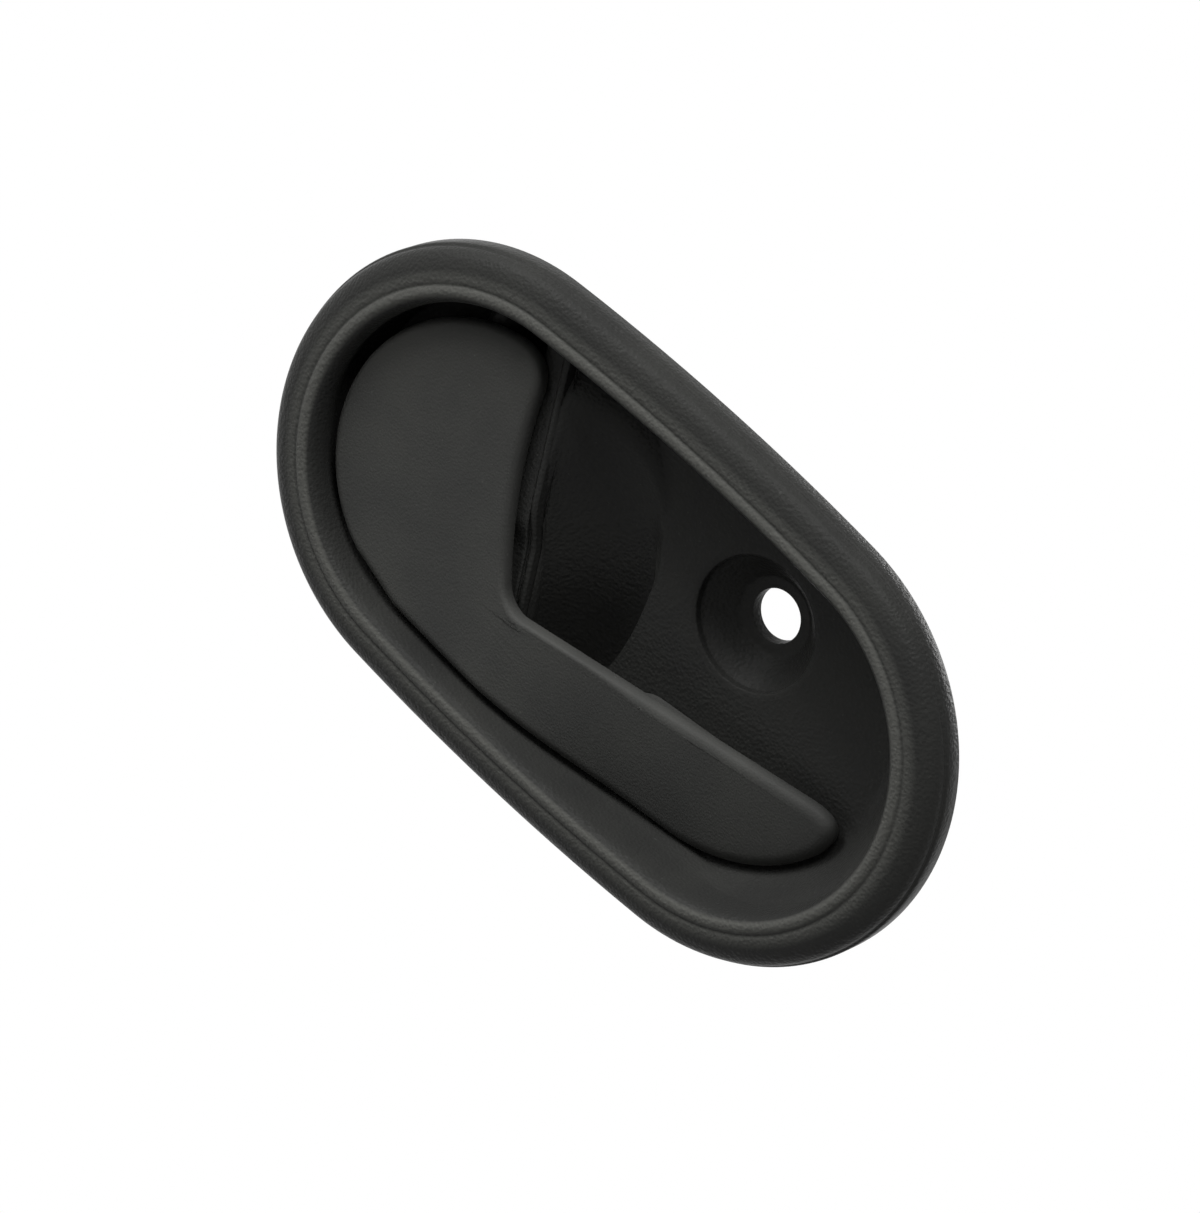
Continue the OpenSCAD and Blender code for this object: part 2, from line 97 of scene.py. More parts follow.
# ---------------------------------------------------------------- shader maths
class Value:
    """A shader socket that takes part in Python sums."""

    def __init__(self, tree, socket):
        self.tree = tree
        self.socket = socket

    def math(self, operation, *others, clamp=False):
        node = self.tree.nodes.new("ShaderNodeMath")
        node.operation = operation
        node.use_clamp = clamp
        for i, v in enumerate((self, *others)):
            if isinstance(v, Value):
                self.tree.links.new(v.socket, node.inputs[i])
            else:
                node.inputs[i].default_value = v
        return Value(self.tree, node.outputs[0])

    def __add__(self, other):
        return self.math("ADD", other)

    def __mul__(self, other):
        return self.math("MULTIPLY", other)

    def __sub__(self, other):
        return self.math("SUBTRACT", other)

    def clamped(self):
        return self.math("ADD", 0.0, clamp=True)


class Finish:
    """A material and the nodes that make it."""

    def __init__(self, name):
        self.material = bpy.data.materials.new(name)
        self.material.use_nodes = True
        self.tree = self.material.node_tree
        self.shader = self.tree.nodes["Principled BSDF"]
        self.place = self.node("ShaderNodeTexCoord", out="Object")

    def node(self, kind, settings=None, inputs=None, out=0):
        made = self.tree.nodes.new(kind)
        for key, value in (settings or {}).items():
            setattr(made, key, value)
        for key, value in (inputs or {}).items():
            if isinstance(value, Value):
                self.tree.links.new(value.socket, made.inputs[key])
            else:
                made.inputs[key].default_value = value
        return Value(self.tree, made.outputs[out])

    def noise(self, scale, detail, roughness):
        return self.node("ShaderNodeTexNoise", inputs={"Vector": self.place, "Scale": scale, "Detail": detail,
                                                       "Roughness": roughness, "Distortion": 0.0})

    def grain(self, scale):
        return self.node("ShaderNodeTexVoronoi", {"feature": "SMOOTH_F1"},
                         {"Vector": self.place, "Scale": scale, "Smoothness": 0.6, "Randomness": 1.0})

    def steps(self, value, low, high, out_low=0.0, out_high=1.0):
        return self.node("ShaderNodeMapRange", {"clamp": True, "interpolation_type": "SMOOTHSTEP"},
                         {"Value": value, "From Min": low, "From Max": high, "To Min": out_low, "To Max": out_high})

    def mix(self, factor, first, second):
        return self.node("ShaderNodeMix", {"data_type": "RGBA"}, {"Factor": factor, 6: first, 7: second}, out=2)

    def bump(self, height, distance):
        return self.node("ShaderNodeBump", inputs={"Height": height, "Distance": distance, "Strength": 1.0})

    def feed(self, **inputs):
        for key, value in inputs.items():
            socket = self.shader.inputs[key.replace("_", " ")]
            if isinstance(value, Value):
                self.tree.links.new(value.socket, socket)
            else:
                socket.default_value = value
        return self.material


def grey(level, warm=0.0):
    """A grey that holds less blue where warm is above 0."""
    return (level, level * 1.01, level * (1 - warm), 1.0)


def moulded_plastic(name, level, crest_highlight_tone, grain_size, grain_depth, rough):
    """Charcoal plastic with a fine moulded grain, cloudy gloss and a few pale specks of dust.

    The grain's size and depth are in millimetres, and the crest's tone says how many times paler the ring's crest is
    painted, as a painted highlight.
    """
    finish = Finish(name)
    cells = finish.grain(1.0 / (grain_size * MM))
    fine = finish.noise(1.0 / (grain_size * 0.45 * MM), 3.0, 0.6)
    cloud = finish.noise(60.0, 3.0, 0.55)
    dust = finish.steps(finish.noise(1500.0, 1.0, 0.4), 0.74, 0.8)
    tone = finish.mix(finish.steps(cloud, 0.3, 0.7), grey(level * 0.9, 0.03), grey(level * 1.12, 0.05))
    tone = finish.mix(dust * 0.12, tone, grey(level * 4.0, 0.05))
    # painted highlight: the crest is painted paler, and made smoother, where a highlight falls on it
    forward = finish.node("ShaderNodeSeparateXYZ", inputs={"Vector": finish.place}, out=1) * -1000.0
    crest = finish.steps(forward, *CREST_HIGHLIGHT_HEIGHTS)
    tone = finish.mix(crest, tone, grey(level * crest_highlight_tone, 0.07))
    height = cells * 0.75 + fine * 0.35
    roughness = finish.steps(cloud, 0.25, 0.75, rough - 0.04, rough + 0.05) + fine * 0.06 - crest * 0.05
    # low, because the surroundings are shown white to glossy rays and would grey the black
    return finish.feed(Base_Color=tone, Roughness=roughness, Normal=finish.bump(height, grain_depth * MM),
                       Specular_IOR_Level=0.08)


def plated_steel(name, level, rough):
    """Steel with fine streaks in its gloss."""
    finish = Finish(name)
    streak = finish.noise(900.0, 3.0, 0.6)
    cloud = finish.noise(140.0, 2.0, 0.5)
    tone = finish.mix(cloud, grey(level * 0.85, 0.02), grey(level * 1.1, 0.05))
    return finish.feed(Base_Color=tone, Metallic=1.0, Roughness=streak * 0.18 + rough,
                       Normal=finish.bump(streak, 0.01 * MM))


def soft_rubber(name):
    """Black rubber with a dull bloom."""
    finish = Finish(name)
    bloom = finish.noise(300.0, 3.0, 0.6)
    tone = finish.mix(bloom, grey(0.012), grey(0.03))
    return finish.feed(Base_Color=tone, Roughness=bloom * 0.15 + 0.65, Normal=finish.bump(bloom, 0.03 * MM))


def natural_plastic(name):
    """Undyed plastic, off-white and a little translucent."""
    finish = Finish(name)
    cloud = finish.noise(200.0, 2.0, 0.5)
    tone = finish.mix(cloud, (0.55, 0.52, 0.44, 1.0), (0.66, 0.63, 0.56, 1.0))
    return finish.feed(Base_Color=tone, Roughness=cloud * 0.1 + 0.35, Subsurface_Weight=0.05)


# the housing's crest is painted 3.4 times paler, a painted highlight
housing_plastic = moulded_plastic("housing_plastic", 0.047, 3.4, 0.5, 0.12, 0.34)
lever_plastic = moulded_plastic("lever_plastic", 0.098, 1.0, 0.36, 0.045, 0.42)
plated = plated_steel("plated_steel", 0.55, 0.25)
wire_steel = plated_steel("spring_wire", 0.42, 0.3)
rubber = soft_rubber("buffer_rubber")
clip_plastic = natural_plastic("clip_plastic")


# ---------------------------------------------------------------- making pieces
def eased(x, start, run):
    """Rises from 0 to 1 over a run from start, level at both ends."""
    t = min(1.0, max(0.0, (x - start) / run))
    return t * t * (3 - 2 * t)


def place_in_door(mesh_data):
    """From the drawing's (x, z, h) in millimetres to the frame's (x, y, z) in metres."""
    bmesh.ops.transform(mesh_data, matrix=Matrix(((MM, 0, 0, 0), (0, 0, -MM, 0), (0, MM, 0, 0), (0, 0, 0, 1))),
                        verts=mesh_data.verts)


def make_piece(name, mesh_data, finish, body, node=None, smooth_angle=35.0):
    """Closes a drawn mesh into a named object that rides on a body and stands for a node."""
    bmesh.ops.remove_doubles(mesh_data, verts=mesh_data.verts, dist=0.002)
    place_in_door(mesh_data)
    bmesh.ops.recalc_face_normals(mesh_data, faces=mesh_data.faces)
    mesh = bpy.data.meshes.new(name)
    mesh_data.to_mesh(mesh)
    mesh_data.free()
    piece = bpy.data.objects.new(name, mesh)
    bpy.context.collection.objects.link(piece)
    mesh.materials.append(finish)
    mesh.shade_smooth()
    mesh.set_sharp_from_angle(angle=math.radians(smooth_angle))
    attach(piece, body)
    if node:
        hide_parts(node)
    return piece


def chain(mesh_data, points, closed=False):
    """Edges through points, for a spin or an extrude."""
    verts = [mesh_data.verts.new(p) for p in points]
    edges = [mesh_data.edges.new(pair) for pair in zip(verts, verts[1:])]
    if closed:
        edges.append(mesh_data.edges.new((verts[-1], verts[0])))
    return verts + edges


def arc(cx, cy, r, start, end, steps):
    """Points of an arc, with angles in degrees."""
    turns = [math.radians(start + (end - start) * i / steps) for i in range(steps + 1)]
    return [(cx + r * math.cos(t), cy + r * math.sin(t)) for t in turns]


def sweep_round_ring(mesh_data, section, end_steps=96, side_steps=14):
    """Spins a closed section round the four arcs of the ring. A section point is (inset, height)."""
    axis = (0, 0, 1)
    for side in (1, -1):
        a = math.radians(90) - BLEND
        end_centre = Vector((side * END_X, 0, 0))
        turn = Matrix.Rotation(-BLEND + (math.pi if side < 0 else 0), 3, axis)
        profile = [end_centre + turn @ Vector((END_RADIUS - w, 0, h)) for w, h in section]
        bmesh.ops.spin(mesh_data, geom=chain(mesh_data, profile, True), cent=end_centre, axis=axis,
                       angle=2 * BLEND, steps=end_steps, use_duplicate=False)
        side_centre = Vector((0, -side * SIDE_Y, 0))
        turn = Matrix.Rotation(BLEND + (math.pi if side < 0 else 0), 3, axis)
        profile = [side_centre + turn @ Vector((SIDE_RADIUS - w, 0, h)) for w, h in section]
        bmesh.ops.spin(mesh_data, geom=chain(mesh_data, profile, True), cent=side_centre, axis=axis,
                       angle=2 * a, steps=side_steps, use_duplicate=False)
    bmesh.ops.remove_doubles(mesh_data, verts=mesh_data.verts, dist=0.01)


def spun(mesh_data, centre, section, steps=48, axis=(0, 0, 1), across=(1, 0, 0)):
    """A turned form round an axis through centre. A section point is (radius, height along the axis)."""
    centre, axis, across = Vector(centre), Vector(axis), Vector(across)
    profile = [centre + across * r + axis * h for r, h in section]
    bmesh.ops.spin(mesh_data, geom=chain(mesh_data, profile), cent=centre, axis=axis, angle=2 * math.pi,
                   steps=steps, use_merge=True, use_duplicate=False)
    bmesh.ops.remove_doubles(mesh_data, verts=mesh_data.verts, dist=0.002)


def thicken(piece, thickness):
    """Gives a sheet its thickness in millimetres, behind the side that is drawn."""
    wall = piece.modifiers.new("wall", "SOLIDIFY")
    wall.thickness = thickness * MM
    wall.offset = 1.0


def cut(mesh_data, faces, spot, way):
    """Cuts the faces along the plane through spot that stands across way."""
    geom = faces + list({e for f in faces for e in f.edges}) + list({v for f in faces for v in f.verts})
    bmesh.ops.bisect_plane(mesh_data, geom=geom, dist=0.0005, plane_co=spot, plane_no=way)


def block(mesh_data, low, high, rounding):
    """A box with rounded edges."""
    low, high = Vector(low), Vector(high)
    made = bmesh.ops.create_cube(mesh_data, size=1.0)["verts"]
    bmesh.ops.scale(mesh_data, vec=high - low, verts=made)
    bmesh.ops.translate(mesh_data, vec=(high + low) / 2, verts=made)
    edges = list({e for v in made for e in v.link_edges})
    bmesh.ops.bevel(mesh_data, geom=edges, offset=rounding, offset_type="OFFSET", segments=3, profile=0.5,
                    affect="EDGES", material=-1)


# ---------------------------------------------------------------- trim ring and cup wall
def ring_section():
    """Section of the ring, as (inset, height): over band, groove and crest, down the cup wall, and back behind."""
    flank = [(0.25, 0.0), (0.0, 0.3), (0.0, 2.7), (0.12, 3.0), (0.3, 3.12), (0.34, 3.3)]
    band = arc(4.9, 3.35, 1.0, 180, 92, 14)
    band = [(4.9 + (x - 4.9) * 4.5, 3.35 + (y - 3.35) * 2.62) for x, y in band]
    groove = [(5.0, 5.89), (5.14, 5.87), (5.28, 5.91), (5.4, 6.0)]
    crest = [(5.6, 6.1), (6.0, 6.18), (6.35, 6.18), (6.7, 6.08), (7.05, 5.86), (7.35, 5.52), (7.6, 5.06),
             (7.78, 4.5), (7.9, 3.9)]
    wall = [(7.98, 3.2), (8.1, 0.0), (8.2, -2.4), (8.72, -3.4), (8.84, -4.4), (8.86, FLOOR_H)]
    behind = [(8.26, FLOOR_H - 0.6), (8.26, CUP_BACK + 0.1), (8.1, CUP_BACK), (6.5, CUP_BACK),
              (6.36, CUP_BACK + 0.15), (5.92, 2.6), (5.8, 2.9), (4.5, 3.9), (4.2, 3.9), (3.1, 3.45), (2.8, 3.25),
              (2.1, 2.4), (2.0, 2.2), (2.0, 0.2), (1.8, 0.0)]
    return flank + band + groove + crest + wall + behind


ring_mesh = bmesh.new()
sweep_round_ring(ring_mesh, ring_section())
# the wall steps back where the heel of the plate swings in
for vert in ring_mesh.verts:
    inset = END_RADIUS - math.hypot(abs(vert.co.x) - END_X, vert.co.y)
    if vert.co.x < HEEL_X and inset > WALL_INSET and -6.5 < vert.co.z < 1.0:
        vert.co.x -= HEEL_RELIEF * eased(-vert.co.x, -HEEL_X, HEEL_RUN)
make_piece("trim_ring", ring_mesh, housing_plastic, "housing", "housing", 40.0)


# ---------------------------------------------------------------- cup floor with trough, rim and screw seat
def wall_distance(x, z):
    """How far a point lies in from the ring's outer edge."""
    if abs(x) > END_X and abs(z) < abs(math.tan(BLEND)) * (abs(x) - END_X) + 1e-6:
        return END_RADIUS - math.hypot(abs(x) - END_X, z)
    return SIDE_RADIUS - math.hypot(x, abs(z) + SIDE_Y)


def drawn_in(spot, inset):
    """The nearest point that lies the inset in from the ring's outer edge."""
    if abs(spot.x) > END_X and abs(spot.y) < abs(math.tan(BLEND)) * (abs(spot.x) - END_X) + 1e-6:
        centre, r = Vector((math.copysign(END_X, spot.x), 0.0)), END_RADIUS - inset
    else:
        centre, r = Vector((0.0, -math.copysign(SIDE_Y, spot.y))), SIDE_RADIUS - inset
    return centre + (Vector((spot.x, spot.y)) - centre).normalized() * r


def soft_min(a, b, soft):
    """The lower of two heights, blended where they are closer than soft."""
    t = max(0.0, soft - abs(a - b)) / soft
    return min(a, b) - soft * t * t / 4


def trough_bottom(u, v):
    """Height of the trough's round bottom, which is deeper towards the lever."""
    axis = TROUGH_R / math.cos(TROUGH_TILT) - TROUGH_DEPTH + v * math.tan(TROUGH_TILT)
    across = min(abs(u - TROUGH_MIDDLE), TROUGH_R * 0.999)
    return axis - math.sqrt(TROUGH_R**2 - across**2) / math.cos(TROUGH_TILT)


def fold_line(v):
    """Distance from the rim to the fold, v millimetres up along the rim."""
    return max(2.2, FOLD_CENTRE.x + math.sqrt(max(0.0, FOLD_R**2 - (v - FOLD_CENTRE.y) ** 2)))


def rim_height(v):
    """Height of the rim's top: low where the lever passes over it."""
    z = RIM.y + v * math.cos(RIM_LEAN)
    return -1.1 + 2.0 * eased(z, -4.6, 8.0)


def rim_foot_height(u, top):
    """Height of the low strip between the rim and the lever."""
    foot = min(-0.35, top - 0.35)
    if u > -3.8:
        return foot - 0.1 * (-1.5 - u) / 2.3
    return max(FLOOR_H, foot - 0.1 - 1.3 * (-3.8 - u))


def trough_profile(u, v):
    """Height of the floor u millimetres to the right of the rim, v millimetres up along it."""
    top = rim_height(v)
    if u <= -1.6:
        return FLOOR_H
    if u <= 0.0:
        foot = rim_foot_height(-1.5, top)
        side = [(-1.6, FLOOR_H), (-1.5, foot), (-1.35, foot + 0.15), (-1.1, top - 0.35), (-0.85, top - 0.08),
                (-0.6, top), (-0.35, top - 0.05), (-0.1, top - 0.22), (0.0, top - 0.4)]
        for (u0, h0), (u1, h1) in zip(side, side[1:]):
            if u <= u1:
                return h0 + (h1 - h0) * (u - u0) / (u1 - u0)
    inside = FOLD_R - math.hypot(u - FOLD_CENTRE.x, v - FOLD_CENTRE.y)
    bottom = soft_min(trough_bottom(u, v), top - 0.4 - 0.35 * u, 1.5 * min(1.0, u + 0.02))
    raised = soft_min(bottom, FLOOR_H + max(0.0, inside + 1.0) * 0.8, 0.8)
    if bottom >= FLOOR_H:
        return max(raised, FLOOR_H)
    z = RIM.y + v * math.cos(RIM_LEAN) + u * math.sin(RIM_LEAN)
    soft = 0.6 + 1.8 * eased(z, -1.5, 6.0)
    return FLOOR_H + (bottom - FLOOR_H) * eased(inside, -0.4 * soft, soft)


def trough_lines(v):
    """Where the grid's lines run across the floor: close together at the rim and along the fold."""
    fold = fold_line(v)
    spans = [(-34.0, -1.7, 30), (-1.7, 0.4, 30), (0.4, fold - 1.2, 40), (fold - 1.2, fold + 0.9, 26),
             (fold + 0.9, 72.0, 62)]
    lines = [spans[0][0]]
    for low, high, steps in spans:
        lines += [low + (high - low) * (i + 1) / steps for i in range(steps)]
    return lines


def seat_distance(spot):
    """How far a point of the floor lies from the middle of the screw seat."""
    return math.hypot(spot.x - SCREW.x, spot.y - SCREW.y)


def by_slot(face, reach=0.0):
    """Whether a face's middle lies in the slot, or within reach of it."""
    middle = face.calc_center_median()
    return (SLOT_LOW.x - reach < middle.x < SLOT_HIGH.x + reach
            and SLOT_LOW.y - reach < middle.y < SLOT_HIGH.y + reach)


floor_mesh = bmesh.new()
columns, rows, floor_length = len(trough_lines(0.0)) - 1, 144, 96.0
bmesh.ops.create_grid(floor_mesh, x_segments=columns, y_segments=rows, size=0.5)
lean = Matrix.Rotation(RIM_LEAN, 2)
for vert in floor_mesh.verts:
    v = vert.co.y * floor_length
    u = trough_lines(v)[round((vert.co.x + 0.5) * columns)]
    spot = RIM + lean @ Vector((u, v))
    vert.co = Vector((spot.x, spot.y, trough_profile(u, v)))
outside = [f for f in floor_mesh.faces if all(wall_distance(v.co.x, v.co.y) < FLOOR_CUT for v in f.verts)]
bmesh.ops.delete(floor_mesh, geom=outside, context="FACES")
for vert in floor_mesh.verts:
    if wall_distance(vert.co.x, vert.co.y) < FLOOR_BORDER:
        vert.co.x, vert.co.y = drawn_in(vert.co, FLOOR_BORDER)
# round hole for the screw seat
facets, seat_hole = 64, DISH_R + 0.9
for i in range(facets):
    t = 2 * math.pi * i / facets
    way = Vector((math.cos(t), math.sin(t), 0))
    cut(floor_mesh, [f for f in floor_mesh.faces if seat_distance(f.calc_center_median()) < DISH_R + 2.6],
        SCREW.to_3d() + way * seat_hole, way)
inner = [f for f in floor_mesh.faces if seat_distance(f.calc_center_median()) < seat_hole
         and all(seat_distance(v.co) < DISH_R + 0.96 for v in f.verts)]
bmesh.ops.delete(floor_mesh, geom=inner, context="FACES")
# slot that the lever's rear arm passes through
for way in ((1, 0, 0), (0, 1, 0)):
    for spot in (SLOT_LOW, SLOT_HIGH):
        cut(floor_mesh, [f for f in floor_mesh.faces if by_slot(f, 3)], spot.to_3d(), way)
bmesh.ops.delete(floor_mesh, geom=[f for f in floor_mesh.faces if by_slot(f)], context="FACES")
cup_floor = make_piece("cup_floor", floor_mesh, housing_plastic, "housing", "housing", 55.0)
thicken(cup_floor, WALL - 0.03)

# strip at the foot of the rim, on the lever's side
strip_mesh = bmesh.new()
strip_middle, strip_width, strip_length = -3.15, 3.8, 60.0
bmesh.ops.create_grid(strip_mesh, x_segments=10, y_segments=80, size=0.5)
for vert in strip_mesh.verts:
    u, v = strip_middle + vert.co.x * strip_width, vert.co.y * strip_length
    spot = RIM + lean @ Vector((u, v))
    vert.co = Vector((spot.x, spot.y, rim_foot_height(u, rim_height(v))))
outside = [f for f in strip_mesh.faces if any(wall_distance(v.co.x, v.co.y) < FLOOR_BORDER for v in f.verts)]
bmesh.ops.delete(strip_mesh, geom=outside, context="FACES")
rim_strip = make_piece("rim_strip", strip_mesh, housing_plastic, "housing", "housing", 55.0)
thicken(rim_strip, 0.6)

# dished seat of the fixing screw, with its hole
seat_mesh = bmesh.new()
dish = DISH_R + 0.95
foot = HOLE_R + 1.6
seat_front = [(dish, 0.0), (DISH_R + 0.3, -0.02), (DISH_R + 0.12, -0.1), (DISH_R + 0.02, -0.28), (DISH_R, -0.85),
              (DISH_R - 0.12, -1.12), (DISH_R - 0.45, -1.32), (foot + 0.4, -DISH_DEPTH + 0.25),
              (foot, -DISH_DEPTH + 0.04), (foot - 0.4, -DISH_DEPTH), (HOLE_R + 0.35, -DISH_DEPTH),
              (HOLE_R + 0.08, -DISH_DEPTH - 0.1), (HOLE_R, -DISH_DEPTH - 0.35)]
seat_back = [(HOLE_R, -DISH_DEPTH - WALL), (foot + WALL - 0.5, -DISH_DEPTH - WALL),
             (foot + WALL - 0.1, -DISH_DEPTH - WALL + 0.2), (DISH_R + WALL - 0.2, -1.5), (dish, -1.4), (dish, 0.0)]
spun(seat_mesh, (SCREW.x, SCREW.y, FLOOR_H), seat_front + seat_back, 96)
make_piece("screw_seat", seat_mesh, housing_plastic, "housing", "housing", 40.0)

# the sloping right end of the cup
ramp_mesh = bmesh.new()
ramp_centre, ramp_r, ramp_mouth = 20.5, 24.5, 29.8
ramp_top = [(ramp_mouth, LIP_H - 1.1), (ramp_mouth + 0.4, LIP_H - 1.0), (ramp_mouth + 1.2, LIP_H - 1.1),
            (ramp_mouth + 1.2, FLOOR_H - 1.0)]
ramp_low = [(ramp_r - 2.2, FLOOR_H - 1.0), (ramp_r - 2.2, FLOOR_H - 0.05), (ramp_r - 1.3, FLOOR_H + 0.04),
            (ramp_r - 0.5, FLOOR_H + 0.25), (ramp_r + 0.15, FLOOR_H + 0.7), (ramp_r + 0.65, FLOOR_H + 1.35),
            (ramp_r + 1.2, FLOOR_H + 2.3)]
ramp_section = ramp_low + ramp_top
ramp_turn = math.radians(2)
start = [Vector((ramp_centre + math.sin(ramp_turn) * r, -math.cos(ramp_turn) * r, h)) for r, h in ramp_section]
bmesh.ops.spin(ramp_mesh, geom=chain(ramp_mesh, start, True), cent=(ramp_centre, 0, 0), axis=(0, 0, 1),
               angle=math.radians(176), steps=90, use_duplicate=False)
bmesh.ops.holes_fill(ramp_mesh, edges=[e for e in ramp_mesh.edges if e.is_boundary], sides=0)
for vert in ramp_mesh.verts:
    if wall_distance(vert.co.x, vert.co.y) < RAMP_BORDER:
        vert.co.x, vert.co.y = drawn_in(vert.co, RAMP_BORDER)
make_piece("cup_ramp", ramp_mesh, housing_plastic, "housing", "housing", 50.0)

# bosses that carry the hinge pin, and the hook that slips behind the door panel
boss_mesh = bmesh.new()
bore, boss_r = PIN_R + 0.02, 2.5
for low, high in BOSS_SPANS:
    spun(boss_mesh, (PIVOT.x, low, PIVOT.y),
         [(bore, 0.0), (boss_r - 0.3, 0.0), (boss_r, 0.3), (boss_r, high - low), (bore, high - low), (bore, 0.0)],
         40, axis=(0, 1, 0))
    block(boss_mesh, (PIVOT.x - 2.4, low + 0.05, CUP_BACK + 0.6), (PIVOT.x + 2.4, high, PIVOT.y - 0.4), 0.3)
make_piece("hinge_bosses", boss_mesh, housing_plastic, "housing", "housing")

hook_mesh = bmesh.new()
block(hook_mesh, (-56.8, -8.0, -4.8), (-51.2, 8.0, -2.6), 0.5)
make_piece("panel_hook", hook_mesh, housing_plastic, "housing", "housing")


# ---------------------------------------------------------------- lever
EDGE_R = 76.0
EDGE_CENTRE = Vector((51.2, 29.8))
NECK_R = 5.0
NECK = Vector((-7.9, -11.3))
TAIL_RISE = math.radians(7.7)
TIP = Vector((20.2, -0.45))
TIP_R = 24.0
LOW_R = SIDE_RADIUS - 8.03 - 0.95
TAIL_START = -10.0
TAIL_SLOPE = math.tan(math.radians(6.1))
TAIL_FALL = 0.14
THICK = 2.4


def line_meets(point, r):
    """Where the tail's upper edge line through point meets a circle round the wide edge's centre, on its left."""
    way = Vector((math.cos(TAIL_RISE), math.sin(TAIL_RISE)))
    w = point - EDGE_CENTRE
    d = w.dot(way)
    return point + way * (-d - math.sqrt(d * d - w.dot(w) + r * r))


TAIL_UP = Vector((-math.sin(TAIL_RISE), math.cos(TAIL_RISE)))
NECK_CENTRE = line_meets(NECK + TAIL_UP * NECK_R, EDGE_R - NECK_R)


def circles_meet(c0, r0, c1, r1, upper):
    """One of the two points where two circles cross: the upper or the lower one."""
    gap = c1 - c0
    d = gap.length
    a = (r0 * r0 - r1 * r1 + d * d) / (2 * d)
    h = math.sqrt(r0 * r0 - a * a)
    way = gap / d
    side = Vector((-way.y, way.x))
    found = [c0 + way * a + side * h, c0 + way * a - side * h]
    return max(found, key=lambda p: p.y) if upper else min(found, key=lambda p: p.y)


def arc_between(centre, start, end, clockwise, spacing=0.45):
    """Points on the way round centre from start to end, without the last."""
    r = (start - centre).length
    a, b = math.atan2(*(start - centre).yx), math.atan2(*(end - centre).yx)
    if clockwise and b > a:
        b -= 2 * math.pi
    if not clockwise and b < a:
        b += 2 * math.pi
    steps = max(2, round(abs(b - a) * r / spacing))
    return [centre + r * Vector((math.cos(a + (b - a) * i / steps), math.sin(a + (b - a) * i / steps)))
            for i in range(steps)]


def lever_outline():
    """Points round the lever, clockwise from the plate's upper corner. Each comes with the kind of edge it lies on."""
    low_centre = Vector((0, SIDE_Y))
    corner = circles_meet(PLATE, PLATE_R, EDGE_CENTRE, EDGE_R, True)
    plate_neck = EDGE_CENTRE + (NECK_CENTRE - EDGE_CENTRE) * EDGE_R / (EDGE_R - NECK_R)
    tail_neck = NECK_CENTRE - TAIL_UP * NECK_R
    way = Vector((math.cos(TAIL_RISE), math.sin(TAIL_RISE)))
    w = NECK - TIP
    d = w.dot(way)
    tip_high = NECK + way * (-d + math.sqrt(d * d - w.dot(w) + TIP_R * TIP_R))
    tip_low = max((circles_meet(TIP, TIP_R, low_centre, LOW_R, u) for u in (True, False)), key=lambda p: p.x)
    plate_low = PLATE - Matrix.Rotation(math.radians(-25), 2) @ Vector((0, PLATE_R))
    low_end = Vector((PLATE.x - 1.0, SIDE_Y - math.sqrt(LOW_R**2 - (PLATE.x - 1.0) ** 2)))
    joint = [low_end.lerp(plate_low, i / 12) for i in range(12)]
    line = [tail_neck + (tip_high - tail_neck) * i / 120 for i in range(120)]
    runs = [("edge", arc_between(EDGE_CENTRE, corner, plate_neck, False)),
            ("neck", arc_between(NECK_CENTRE, plate_neck, tail_neck, False, 0.3)),
            ("ridge", line),
            ("tip", arc_between(TIP, tip_high, tip_low, True)),
            ("low", arc_between(low_centre, tip_low, low_end, True) + joint),
            ("plate", arc_between(PLATE, plate_low, corner, True))]
    return [(kind, p) for kind, run in runs for p in run]


def evened(values, rounds):
    """Eases values round the outline into their neighbours."""
    n = len(values)
    for _ in range(rounds):
        values = [(values[i - 1] + values[i] + values[(i + 1) % n]) / 3 for i in range(n)]
    return values


def rounded(points, corners, reach, rounds):
    """Eases the outline within reach of its corners."""
    n = len(points)
    for _ in range(rounds):
        moved = list(points)
        for i in range(n):
            near_corner = min((points[i] - c).length for c in corners)
            if near_corner < reach:
                strength = 0.5 * (1 - near_corner / reach)
                moved[i] = points[i].lerp((points[i - 1] + points[(i + 1) % n]) / 2, strength)
        points = moved
    return points


def lever_height(x, z):
    """Height of the lever's face: a nearly flat plate, and a tail that falls away from its upper edge."""
    h = FACE_H - max(0.0, x - TAIL_START) * TAIL_SLOPE
    line_z = NECK.y + (x - NECK.x) * math.tan(TAIL_RISE)
    below = line_z - z
    if x > -14.0 and below > 0:
        fall = TAIL_FALL * eased(x, -6.0, 22.0) * below * below / (below + 2.5)
        h = -soft_min(fall - h, -FLOOR_H - 1.7, 1.0)
    return h


outline = lever_outline()
kinds = [kind for kind, _ in outline]
shape = [p for _, p in outline]
smooth_joints = ({"edge", "neck"}, {"neck", "ridge"})
corner_points = [shape[i] for i in range(len(shape))
                 if kinds[i] != kinds[i - 1] and {kinds[i], kinds[i - 1]} not in smooth_joints]
shape = rounded(shape, corner_points[:1], 5.0, 160)
shape = rounded(shape, corner_points[1:2], 7.0, 260)
HEART = Vector((-19.0, -14.0))
ROUNDING = {"edge": 1.25, "neck": 0.8, "ridge": 1.7, "tip": 1.9, "low": 1.6, "plate": 1.2}
# the ridge starts sharper by this much, at the neck
RIDGE_START_LESS = 1.1
rounding = evened([ROUNDING[k] - (RIDGE_START_LESS * (1 - eased(p.x, 2.0, 12.0)) if k == "ridge" else 0.0)
                   for k, p in zip(kinds, shape)], 12)


def inward(i):
    """The outline's normal at a point, towards the lever's own material."""
    way = shape[(i + 1) % len(shape)] - shape[i - 1]
    n = Vector((-way.y, way.x)).normalized()
    return n if n.dot(HEART - shape[i]) > 0 else -n


INWARD = [inward(i) for i in range(len(shape))]
